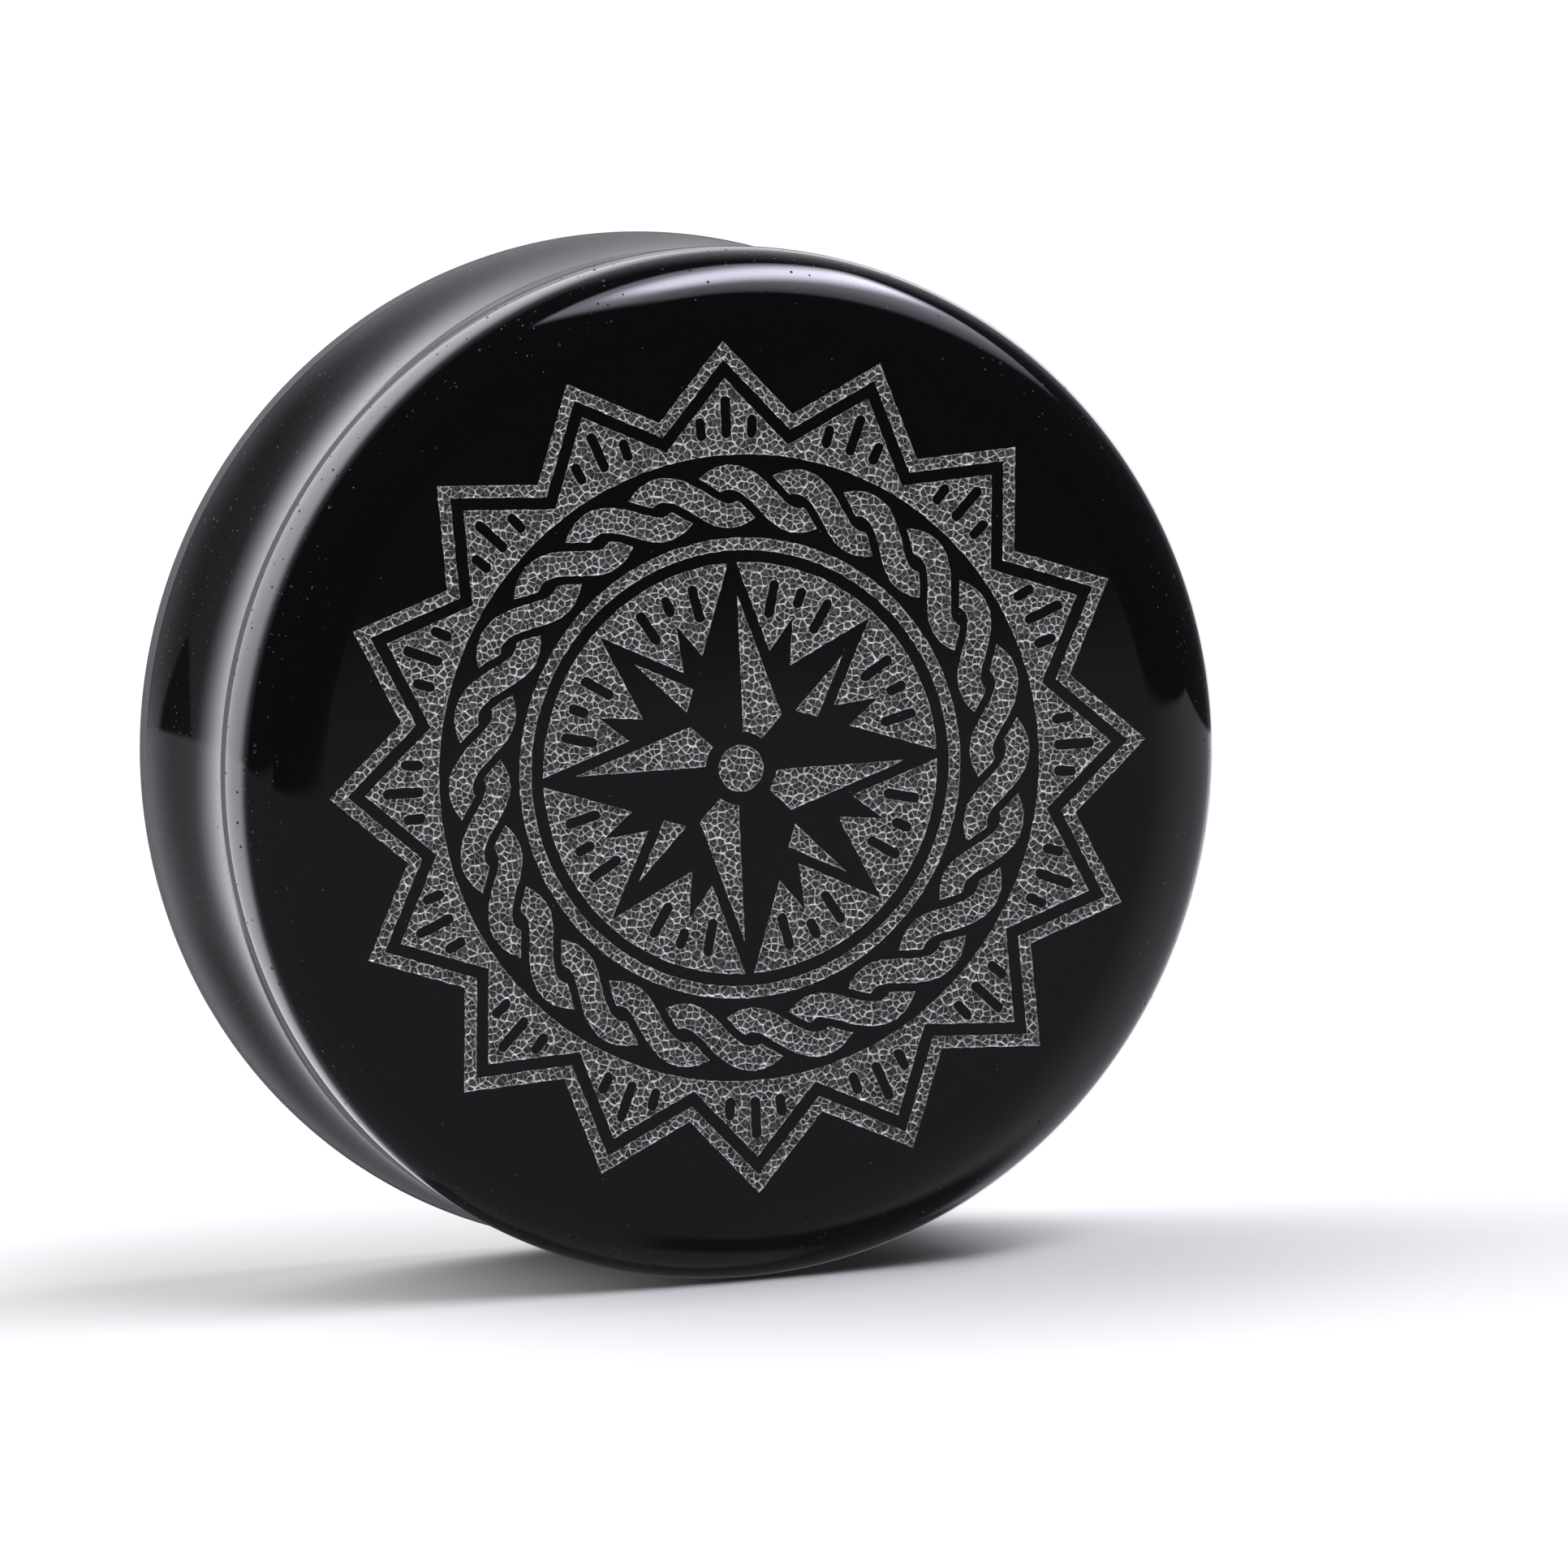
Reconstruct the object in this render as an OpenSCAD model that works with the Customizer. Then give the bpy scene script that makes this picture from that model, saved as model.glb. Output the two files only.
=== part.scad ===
// Double flare ear plug: a solid, slightly waisted disc of polished black stone, engraved on its front face.
// It stands on the rims of its two flares, as a wheel does. Its axis runs along Y, the engraved face looks
// along -Y, and the surface that it stands on is at Z = 0, straight below its centre.

/* [Plug] */
// Diameter at the waist of the saddle, where the ear lobe sits
saddle_d = 41.3; // [34:0.1:60]
// Height of each flare's crest above the waist
flare_rise = 0.45; // [0.3:0.05:1]
// Distance from one crest to the other
crest_gap = 12.7; // [9:0.1:20]

/* [Rims] */
// Radius of the tight rounding that starts at each crest
crest_round = 2.9; // [2:0.1:3.5]
// Slope, in degrees, at which the rounding leaves the crest
crest_slope = 10; // [0:1:15]
// Radius of the gentle roll between that rounding and the flat face
face_roll = 6; // [4:0.5:7]
// Slope, in degrees, at which the rounding passes into the roll
roll_angle = 14; // [5:1:20]

/* [Engraving] */
// Depth of the engraving below the face
cut_depth = 0.15; // [0.1:0.05:0.4]
// Width of the frosted lines
line_w = 0.5; // [0.4:0.05:0.6]
// Width of the polished lines between frosted areas
gap_w = 0.5; // [0.4:0.05:0.6]
// Number of rays on the sun
ray_count = 16; // [12:1:20]
// Number of waves in each strand of the plait
wave_count = 12; // [10:1:14]

/* [Hidden] */

saddle_r = saddle_d / 2;
crest_r = saddle_r + flare_rise;
crest_z = crest_gap / 2;
// Radius of the arc that forms the saddle from crest to crest
saddle_arc = (crest_z ^ 2 + flare_rise ^ 2) / (2 * flare_rise);
// Centres of the rounding and of the roll, which share a normal where they meet
round_centre = [crest_r, crest_z] - crest_round * spot(1, 90 - crest_slope);
roll_centre = round_centre - (face_roll - crest_round) * spot(1, roll_angle);
// Radius of the flat face, and half of the plug's length
face_r = roll_centre.x;
half_length = roll_centre.y + face_roll;
// Steps of a full turn
arc_steps = 180;

// Radii of the medallion, from its rim inwards
medallion_r = face_r - 0.13;
valley_r = 0.835 * medallion_r;
plait_out = 0.735 * medallion_r;
plait_in = 0.54 * medallion_r;
field_r = plait_in - line_w - gap_w;
// The plait's strands, their play beside the rings, and their play beside each other where they cross
strand_w = 1;
plait_play = 0.4;
cross_play = 0.35;
plait_r = (plait_out + plait_in) / 2;
wave_height = (plait_out - plait_in - strand_w) / 2 - plait_play;
strand_steps = 20 * wave_count;
// Width of the strokes cut out of the frosted areas
stroke_w = 0.42;
// The strokes in each ray: where they start, the tips of the long and short ones, and the short ones' place
// beside the long one, as a share of the ray's angle
ray_foot = 0.785 * medallion_r;
long_tip = 0.86 * medallion_r;
short_tip = 0.815 * medallion_r;
short_shift = 0.2;
// The star's tips and valleys, for its main, diagonal and small points
main_star = [0.955 * field_r, 0.34 * field_r];
diagonal_star = [0.86 * field_r, 0.31 * field_r];
small_star = [0.77 * field_r, 0.35 * field_r];
// Polished gap round the larger points, and half of the one between facets
star_gap = 0.3;
facet_gap = 0.16;
// The fans between the star's points: angle from one fan to the next and between strokes, the common tip of
// the strokes, and the feet of the middle and side ones
fan_step = 45;
fan_spread = 9.2;
fan_tip = 0.9 * field_r;
middle_foot = 0.845 * field_r;
side_foot = 0.765 * field_r;
// Radii of the hub: of the polished disc, and of the frosted dot on it
hub_r = 1.5;
hub_dot_r = 0.95;
// Angles, clockwise from the axis, at which the sectors of the profile end inside the stone
roll_start = -60;
round_end = 120;

// Point at radius r, at angle a clockwise from the top
function spot(r, a) = r * [sin(a), cos(a)];

// Outline of a star with n tips
function star_points(n, tip, valley) =
    [for (i = [0 : 2 * n - 1]) spot(i % 2 == 0 ? tip : valley, 180 * i / n)];

// Distance from the centre to the line through a star's edge
function edge_distance(n, tip, valley) =
    tip * valley * sin(180 / n) / norm(spot(tip, 0) - spot(valley, 180 / n));

// The triangle p with each side moved inwards by d
function inset_triangle(p, d) =
    let (a = norm(p[1] - p[2]),
         b = norm(p[2] - p[0]),
         c = norm(p[0] - p[1]),
         incentre = (a * p[0] + b * p[1] + c * p[2]) / (a + b + c),
         twice_area = abs(cross(p[1] - p[0], p[2] - p[0])),
         k = 1 - d * (a + b + c) / twice_area)
    [for (q = p) incentre + k * (q - incentre)];

// Point on the middle line of a strand, and the unit vector across the strand there
function strand_point(a, phase) = spot(plait_r + wave_height * cos(wave_count * a + phase), a);
function strand_across(a, phase) =
    let (along = strand_point(a + 0.01, phase) - strand_point(a - 0.01, phase))
    [-along.y, along.x] / norm(along);

// Line beside a strand's middle line, from angle a0 to a1 in n steps
function strand_line(a0, a1, n, phase, shift) =
    [for (i = [0 : n])
        let (a = a0 + (a1 - a0) * i / n)
        strand_point(a, phase) + shift * strand_across(a, phase)];

// A star whose edges are all moved inwards by inset
module star(n, size, inset = 0) {
    k = 1 - inset / edge_distance(n, size[0], size[1]);
    polygon(k * star_points(n, size[0], size[1]));
}

// The clockwise half of each point of a star, as separate facets
module star_facets(n, size) {
    half_point = [[0, 0], spot(size[0], 0), spot(size[1], 180 / n)];
    for (i = [0 : n - 1])
        rotate(-360 * i / n) polygon(inset_triangle(half_point, facet_gap));
}

// A stroke with round ends along the radius at angle a
module stroke(a, r0, r1) {
    rotate(-a) {
        translate([-stroke_w / 2, r0]) square([stroke_w, r1 - r0]);
        translate([0, r0]) circle(d = stroke_w, $fn = 24);
        translate([0, r1]) circle(d = stroke_w, $fn = 24);
    }
}

module disc(r) {
    circle(r = r, $fn = arc_steps);
}

// The zigzag line round the sun
module sun_outline() {
    sun = [medallion_r, valley_r];
    difference() {
        star(ray_count, sun);
        star(ray_count, sun, line_w);
    }
}

// The sun's rays, each with a long stroke between two short ones
module sun_rays() {
    ray_step = 360 / ray_count;
    difference() {
        star(ray_count, [medallion_r, valley_r], line_w + gap_w);
        disc(plait_out);
        for (i = [0 : ray_count - 1]) {
            stroke(i * ray_step, ray_foot, long_tip);
            for (side = [-short_shift, short_shift])
                stroke((i + side) * ray_step, ray_foot, short_tip);
        }
    }
}

// A strand all the way round
module strand(phase) {
    last = 360 - 360 / strand_steps;
    outer = strand_line(0, last, strand_steps - 1, phase, strand_w / 2);
    inner = strand_line(0, last, strand_steps - 1, phase, -strand_w / 2);
    steps = [for (i = [0 : strand_steps - 1]) i];
    polygon(concat(outer, inner), [steps, [for (i = steps) i + strand_steps]]);
}

// The room that a strand needs where it passes over the other one, at every second crossing
module strand_room(phase, first) {
    room_w = strand_w + 2 * cross_play;
    reach = 60 / wave_count;
    for (m = [first : 2 : 2 * wave_count - 1]) {
        a = (90 + 180 * m) / wave_count;
        polygon(concat(
            strand_line(a - reach, a + reach, 8, phase, room_w / 2),
            strand_line(a + reach, a - reach, 8, phase, -room_w / 2)));
    }
}

// Two strands that pass over and under each other
module plait() {
    difference() {
        strand(0);
        strand_room(180, 1);
    }
    difference() {
        strand(180);
        strand_room(0, 0);
    }
}

// The ring inside the plait
module inner_ring() {
    difference() {
        disc(plait_in);
        disc(plait_in - line_w);
    }
}

// The round field behind the star, with fans of short strokes between its points
module star_field() {
    difference() {
        disc(field_r);
        rotate(fan_step / 2) star(8, small_star);
        rotate(fan_step) star(4, diagonal_star, -star_gap);
        for (a = [fan_step / 2 : fan_step : 360]) {
            stroke(a, middle_foot, fan_tip);
            for (side = [-fan_spread, fan_spread])
                stroke(a + side, side_foot, fan_tip);
        }
    }
    rotate(fan_step) star_facets(4, diagonal_star);
}

// The star with its field and hub
module star_medal() {
    difference() {
        star_field();
        star(4, main_star, -star_gap);
    }
    difference() {
        star_facets(4, main_star);
        disc(hub_r);
    }
    disc(hub_dot_r);
}

// Everything on the face that is engraved
module medallion() {
    sun_outline();
    sun_rays();
    plait();
    inner_ring();
    star_medal();
}

// Slice of a circle between the angles from and to, measured clockwise from the top
module sector(centre, r, from, to) {
    far = 2 * r;
    translate(centre)
        intersection() {
            circle(r = r, $fn = arc_steps);
            polygon([[0, 0], spot(far, from), spot(far, (from + to) / 2), spot(far, to)]);
        }
}

// Profile of the plug before the saddle is cut
module uncut_profile() {
    translate([0, -half_length]) square([face_r, 2 * half_length]);
    translate([0, -crest_z]) square([crest_r, crest_gap]);
    for (end = [0, 1]) mirror([0, end]) {
        sector(roll_centre, face_roll, roll_start, roll_angle);
        sector(round_centre, crest_round, roll_angle, round_end);
    }
}

// The solid of revolution, with its axis along Z
module turned_body() {
    rotate_extrude($fn = arc_steps)
        difference() {
            uncut_profile();
            translate([saddle_r + saddle_arc, 0]) circle(r = saddle_arc, $fn = 4 * arc_steps);
        }
}

module plug() {
    color("#1b1a1f")
        translate([0, 0, crest_r])
            rotate([90, 0, 0])
                difference() {
                    turned_body();
                    translate([0, 0, half_length - cut_depth])
                        linear_extrude(2 * cut_depth) medallion();
                }
}

plug();
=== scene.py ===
"""Looks of an engraved double flare ear plug of black stone, which stands on the rims of its flares."""
import math
import random

import bpy
from mathutils import Matrix, Vector, noise
from mathutils.bvhtree import BVHTree
from mathutils.geometry import delaunay_2d_cdt


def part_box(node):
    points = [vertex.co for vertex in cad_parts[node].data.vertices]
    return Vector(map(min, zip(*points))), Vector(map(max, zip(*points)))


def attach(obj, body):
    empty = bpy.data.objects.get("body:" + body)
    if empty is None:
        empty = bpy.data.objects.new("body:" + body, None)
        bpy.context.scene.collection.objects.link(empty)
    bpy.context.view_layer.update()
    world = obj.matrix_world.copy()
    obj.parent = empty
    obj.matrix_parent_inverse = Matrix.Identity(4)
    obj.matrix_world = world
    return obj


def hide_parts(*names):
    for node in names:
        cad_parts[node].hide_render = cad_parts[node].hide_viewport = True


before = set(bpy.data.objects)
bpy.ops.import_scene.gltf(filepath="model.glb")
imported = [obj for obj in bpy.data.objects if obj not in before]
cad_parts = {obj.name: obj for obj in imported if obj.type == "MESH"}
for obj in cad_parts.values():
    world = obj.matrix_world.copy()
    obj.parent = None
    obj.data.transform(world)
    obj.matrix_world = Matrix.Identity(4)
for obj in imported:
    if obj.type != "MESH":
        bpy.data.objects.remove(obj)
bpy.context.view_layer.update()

MM = 0.001

# The plug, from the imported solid: its crests' radius, its half length, and the height of its axis
node_low, node_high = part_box("plug")
CREST_R = (node_high.x - node_low.x) / 2
HALF_LENGTH = (node_high.y - node_low.y) / 2
AXIS_Z = CREST_R
FRONT_Y = -HALF_LENGTH

# The turned profile: height of the flares, the tight rounding at the crests and the gentle roll to the faces
FLARE_RISE = 0.45 * MM
CREST_ROUND = 2.9 * MM
CREST_SLOPE = math.radians(10)
FACE_ROLL = 6 * MM
ROLL_ANGLE = math.radians(14)
CREST_EASE = 1.3 * MM
FACE_R = CREST_R - CREST_ROUND * math.cos(CREST_SLOPE) - (FACE_ROLL - CREST_ROUND) * math.sin(ROLL_ANGLE)
ROLL_CENTRE = (FACE_R, HALF_LENGTH - FACE_ROLL)
ROUND_CENTRE = (
    CREST_R - CREST_ROUND * math.cos(CREST_SLOPE),
    HALF_LENGTH - FACE_ROLL + (FACE_ROLL - CREST_ROUND) * math.cos(ROLL_ANGLE),
)
CREST_A = ROUND_CENTRE[1] + CREST_ROUND * math.sin(CREST_SLOPE)
SADDLE_ARC = (CREST_A ** 2 + FLARE_RISE ** 2) / (2 * FLARE_RISE)
SADDLE_CENTRE = (CREST_R - FLARE_RISE + SADDLE_ARC, 0.0)
# Steps of a full turn, and steps along the roll, the rounding, the eased crest and half of the saddle
TURN_STEPS = 360
ROLL_STEPS = 7
ROUND_STEPS = 32
EASE_STEPS = 6
SADDLE_STEPS = 8

# The engraving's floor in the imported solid: how squarely it looks to the front, and how deep it can lie
CUT_NORMAL_Y = -0.99999
CUT_DEPTHS = (0.02 * MM, 1 * MM)
# What the triangulation returns, triangles all over, and how close together two points become one
ALL_TRIANGLES = 0
SAME_POINT = 1e-6
# The engraving's edges: the length of their steps, how far they wander, and within what length
EDGE_STEP = 0.13 * MM
EDGE_WOBBLE = 0.032 * MM
WOBBLE_SIZE = 0.25 * MM
# The cells of the frosted floor: their size, how much taller than wide and how uneven they are, how far from
# the corners towards the middle their ridges reach, and how deep ridges and pits lie
CELL = 0.23 * MM
CELL_STRETCH = 1.3
CELL_JITTER = 0.48
RIDGE_SHARE = 0.3
RIDGE_DEPTH = (0.04 * MM, 0.08 * MM)
PIT_DEPTH = (0.1 * MM, 0.14 * MM)
# How much light the floor scatters at its edges, on ridges, in pits and on the hidden faces
RIM_LIGHT = (0.3, 1.0)
RIDGE_LIGHT = (0.35, 1.6)
PIT_LIGHT = (0.0, 0.25)
HIDDEN_LIGHT = 0.5
# How much of its tile in the map a hidden face fills
TILE_FILL = 0.9

# The polish: its colour and gloss
STONE_BLACK = (0.001, 0.001, 0.0012)
STONE_IOR = 1.5
POLISH_ROUGHNESS = 0.03
# The unpolished line along each crest: its middle, how far from that it ends and is full, and its roughness
WORN_A = CREST_A - 0.22 * MM
WORN_HALF = 0.46 * MM
WORN_FULL = 0.9 * WORN_HALF
WORN_ROUGHNESS = 0.65
# The smears, and the noise at which they begin and are full
SMEAR_SIZE = 9 * MM
SMEAR_FADE = (0.35, 0.7)
SMEAR_ROUGHNESS = 0.03
# The pits: how far apart and how big they are, how far from the crests they reach, and their share there
PIT_SPACING = 0.36 * MM
PIT_SIZE = 0.055 * MM
PIT_REACH = 3 * MM
PIT_SHARE = 0.7
PIT_DROP = 0.02 * MM
PIT_ROUGHNESS = 0.8
# The dust, and the noise at which its patches begin and are full
DUST_GREY = (0.12, 0.12, 0.13)
DUST_PATCH = 5 * MM
DUST_FADE = (0.3, 0.6)
DUST_SPACING = 0.2 * MM
DUST_SIZE = 0.022 * MM
DUST_SHARE = 0.5
# Share of the pits and dust that lies on the flat faces, and how far behind them it is the full one
FACE_SHARE = 0.04
FACE_REACH = 0.5 * MM

# The frost: its lightness over the range of scattered light, how blue that is, and its roughness
FROST_RANGE = (0.0, 1.2)
FROST_LIGHT = (0.035, 0.8)
FROST_BLUE = 0.95
FROST_ROUGHNESS = (0.8, 0.55)
# Its grain: the size, the noise at which it begins and is full, the depth, and the contrast
GRAIN_SIZE = 0.11 * MM
GRAIN_FADE = (0.3, 0.7)
GRAIN_DROP = 0.02 * MM
GRAIN_CONTRAST = (0.55, 1.25)

# The camera, as the photograph's outline of the plug gives it
PHOTO_SIDE = 1932
PLUG_AT = (833, 925)
CAMERA_AZIMUTH = math.radians(-17.1)
CAMERA_ELEVATION = math.radians(5.6)
CAMERA_ROLL = math.radians(-2.5)
CAMERA_DISTANCE = 28 * CREST_R
FOCAL_PIXELS = 17700
SENSOR = 36

# The light. Directions are degrees left of the way the camera looks, and degrees above the horizon. A value
# whose name ends in _AT is a patch of them: its limits from right to left, its limits from below upwards,
# and how soft they are. One whose name ends in _FADE says where a soft step begins and where it ends.

# The white that the camera sees, the tone of what isn't lit, and the tints of the light
WHITE = 1.2
DIM = 0.07
TINT = (1.0, 0.95, 1.05)
TOP_TINT = (0.96, 0.93, 1.11)
# The big round light on the left: where it hangs, half of its width to the left and right and half of its
# height in the flat view towards it, its edge there, its tones low down and high up, and its glow
LEFT_LIGHT = (46, 15)
LEFT_HALF = (1.5, 1.22, 1.4)
LEFT_FADE = (0.72, 1.28)
LEFT_HEIGHT_FADE = (0.0, 50.0)
LEFT_TONES = (3.2, 5.0)
GLOW = 1.33
GLOW_FADE = (0.5, 1.9)
# How far ahead a direction has to go to show in that view, and the reach of those that don't
LEAST_AHEAD = 0.02
OUT_OF_REACH = 9.0
# The dim wall behind and above the backdrop, with its tones low down and high up
WALL_AT = ((-32, 20), (-30, 75), 18.0)
WALL_HEIGHT_FADE = (0.0, 24.0)
WALL_TONES = (0.33, 0.55)
# The paler strip low down in front, on the left of the camera
STRIP_AT = ((125, 158), (-4.6, -1.8), 0.7)
STRIP_TONE = 0.24
# The backdrop behind the plug: its middle, its edge, and how much less the height above its middle counts
BACKDROP = (17, 2)
BACKDROP_FADE = (36, 40)
BACKDROP_STRETCH = 0.2
# How it grows paler towards its rim, in steps from a circle on: the circle's radius, the degrees to a step,
# the power of the steps, the tone of one step, and the palest tone
RIM_START = 20
RIM_STEP = 10
RIM_POWER = 3.0
RIM_TONE = 0.7
RIM_PALEST = 2.2
# Where one step has a dimmer tone, and where the rim is some steps ahead
DIMMER_RIM = 0.35
DIMMER_RIM_AT = ((35, 60), (0, 20), 5.0)
PALER_RIM_STEPS = 0.3
PALER_RIM_AT = ((-60, 26), (20, 60), 8.0)
# Its own tone, which grows from left to right and from the floor upwards
BACKDROP_TONE = 0.4
BACKDROP_RIGHT_FADE = (30.0, -2.0)
BACKDROP_FOOT_FADE = (-9.0, 1.0)
# The pale glow on it: its middle, its tone and its edge, its dimmer heart, where it ends on the right, and
# how dim it is at its foot
PALE = (10, -3)
PALE_TONE = 0.92
PALE_FADE = (8, 23)
PALE_HEART = 0.45
PALE_HEART_FADE = (6, 10)
PALE_RIGHT_FADE = (1.0, 13.0)
PALE_FOOT = 0.15
PALE_FOOT_FADE = (-16.0, -9.0)
# The dark card before the backdrop: its tone, the height of its foot, its right and left edges there, the
# lean of the right one and the bend of the left one, how soft they are, and its top
CARD_TONE = DIM / 3
CARD_FOOT = -2.0
CARD = (33.5, 43.8)
CARD_LEAN = 0.65
CARD_BEND = 0.08
CARD_SOFT = (0.3, 0.8)
CARD_TOP_FADE = (5.2, 6.2)
# The softbox above: where it hangs, its patch in the flat view towards it, its tones from below upwards,
# and its slanted hot band
TOP_BOX = (-118, 50)
TOP_BOX_AT = ((-0.85, 0.45), (-0.2, 0.5), 0.05)
TOP_GLOW_FADE = (-0.2, 0.15)
TOP_TONES = (1.2, 3.5)
TOP_BAND_AT = ((-0.72, 0.3), (0.11, 0.35), 0.1)
TOP_BAND_SLANT = 0.1
TOP_BAND_LIGHT = 13.0
# The lines at which the floor ends: how far each dips for the way along the world's X and along its Y
FLOOR_EDGES = ((0.0, -0.096), (0.074, 0.068))
FLOOR_EDGE_FADE = (0.005, -0.005)
# The floor as the polish shows it: its tone in front, its tone on the right with the limits of that, and its
# tone at the back right
FLOOR_FRONT = 0.27
FLOOR_RIGHT = 0.7
FLOOR_RIGHT_SIDES = (-125, 0)
FLOOR_RIGHT_SOFT = 22.0
FLOOR_RIGHT_FADE = (-76.0, -62.0)
FLOOR_BACK = 1.25
FLOOR_BACK_AT = ((-40, -10), (-17, 0), 7.0)
# Where the big light's glow on the floor ends on the right
FLOOR_GLOW_FADE = (20.0, 60.0)
# The lit floor on the left: its tone, its edge in the big light's reach, and its edge where this much ahead,
# to the left and up add up to nothing
FLOOR_LEFT = 5.0
LIT_REACH_FADE = (0.8, 1.45)
LIT_EDGE = (0.884, 0.468, 0.99)
LIT_EDGE_FADE = (-0.16, 0.02)
# What the floor adds to the backdrop where it lies before that, near the plug and further off
FLOOR_BEHIND_FADE = (-18.0, -14.0)
FLOOR_BEHIND = (0.04, 0.1)
# The painted shadow of the plug on the floor: its tone, and a wedge's right edge, its left edge with the
# slope of that, and its heights with how soft they are. The painted shadow also fills a patch below.
DARK = 1.5 * DIM
WEDGE_RIGHT_FADE = (9.0, 15.0)
WEDGE_LEFT_FADE = (-30.0, -34.0)
WEDGE_LEFT_SLOPE = 1.5
WEDGE_HEIGHTS = (-62, -18)
WEDGE_SOFT = 3.0
DARK_AT = ((-150, 40), (-70, -45), 6.0)

# The floor as the camera sees it
FLOOR_SIZE = 2.0
FLOOR_TONE = 0.5

rng = random.Random(7)
# Without a seed, the noise that the edges wander by is another one in each run
noise.seed_set(7)


def arc(centre, radius, start, end, steps):
    """Points (radius from the axis, distance along it) on an arc, its angles measured from the axis."""
    angles = [start + (end - start) * i / steps for i in range(steps + 1)]
    return [(centre[0] + radius * math.sin(t), centre[1] + radius * math.cos(t)) for t in angles]


def crest_ease():
    """Centre of the arc that eases the crest, and its angles where it meets the rounding and the saddle."""
    off = Vector(SADDLE_CENTRE) - Vector(ROUND_CENTRE)
    inner = CREST_ROUND - CREST_EASE
    outer = SADDLE_ARC + CREST_EASE
    opening = math.acos((off.length_squared + inner ** 2 - outer ** 2) / (2 * off.length * inner))
    start = math.atan2(off.x, off.y) - opening
    centre = Vector(ROUND_CENTRE) + inner * Vector((math.sin(start), math.cos(start)))
    to_saddle = Vector(SADDLE_CENTRE) - centre
    return centre, start, math.atan2(to_saddle.x, to_saddle.y)


def half_profile():
    """The front half of the profile, from the edge of the flat face to the waist of the saddle."""
    centre, start, end = crest_ease()
    points = arc(ROLL_CENTRE, FACE_ROLL, 0, ROLL_ANGLE, ROLL_STEPS)
    points += arc(ROUND_CENTRE, CREST_ROUND, ROLL_ANGLE, start, ROUND_STEPS)[1:]
    points += arc(centre, CREST_EASE, start, end, EASE_STEPS)[1:]
    points += arc(SADDLE_CENTRE, SADDLE_ARC, end + math.pi, 1.5 * math.pi, SADDLE_STEPS)[1:]
    return points


def cut_floor():
    """The faces of the engraving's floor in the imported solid, as corner positions, and their depth."""
    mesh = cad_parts["plug"].data
    least, most = CUT_DEPTHS
    faces = []
    for face in mesh.polygons:
        if face.normal.y < CUT_NORMAL_Y and least < face.center.y - FRONT_Y < most:
            faces.append([mesh.vertices[v].co.copy() for v in face.vertices])
    return faces, faces[0][0].y - FRONT_Y


def flat(point):
    """A point on the front as seen from the front, in millimetres from the axis."""
    return (point.x / MM, (point.z - AXIS_Z) / MM)


def open_edges(faces):
    """The edges that only one face has, each as its two corners."""
    edges = {(a, b): True for face in faces for a, b in zip(face, face[1:] + face[:1])}
    return [(a, b) for a, b in edges if (b, a) not in edges]


def traced(edges):
    """The closed loops of corners that the edges form."""
    after = dict(edges)
    loops = []
    while after:
        here = next(iter(after))
        loop = []
        while here in after:
            loop.append(here)
            here = after.pop(here)
        loops.append(loop)
    return loops


def outlines(faces):
    """The edges of the engraving as loops of points, each anticlockwise."""
    rings = [[tuple(round(c, 5) for c in flat(p)) for p in face] for face in faces]
    return [loop if turns_left(loop) else loop[::-1] for loop in traced(open_edges(rings))]


def turns_left(loop):
    """Whether a loop runs anticlockwise."""
    return sum(a[0] * b[1] - b[0] * a[1] for a, b in zip(loop, loop[1:] + loop[:1])) > 0


def worn_loop(loop):
    """A loop in short steps, each point moved a little, as a blasted edge wanders."""
    step, size, reach = EDGE_STEP / MM, WOBBLE_SIZE / MM, EDGE_WOBBLE / MM
    points = []
    for a, b in zip(loop, loop[1:] + loop[:1]):
        a, b = Vector(a), Vector(b)
        count = max(1, math.ceil((b - a).length / step))
        for i in range(count):
            p = a.lerp(b, i / count)
            points.append(p + reach * noise.noise_vector((p / size).to_3d()).to_2d())
    return points


def indexed(loops):
    """All the loops' points in one list, and each loop as indices into it."""
    points, faces = [], []
    for loop in loops:
        faces.append(list(range(len(points), len(points) + len(loop))))
        points += loop
    return points, faces


def triangles(points, edges, loops):
    """Triangles through the points and edges, each with whether it lies inside the loops."""
    made = delaunay_2d_cdt(points, edges, loops, ALL_TRIANGLES, SAME_POINT)
    inside = [len(owners) % 2 == 1 for owners in made[5]]
    return [Vector(p) for p in made[0]], made[2], inside, made[3]


def mesh_object(name, points, faces, smooth):
    """A new object with these points and faces; smooth says which faces are shaded smooth."""
    mesh = bpy.data.meshes.new(name)
    mesh.from_pydata([tuple(p) for p in points], [], faces)
    mesh.polygons.foreach_set("use_smooth", smooth)
    mesh.update()
    thing = bpy.data.objects.new(name, mesh)
    bpy.context.scene.collection.objects.link(thing)
    return thing


def on_front(p, depth):
    """The place of a flat point, so deep below the front face."""
    return Vector((p[0] * MM, FRONT_Y + depth, p[1] * MM + AXIS_Z))


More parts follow.
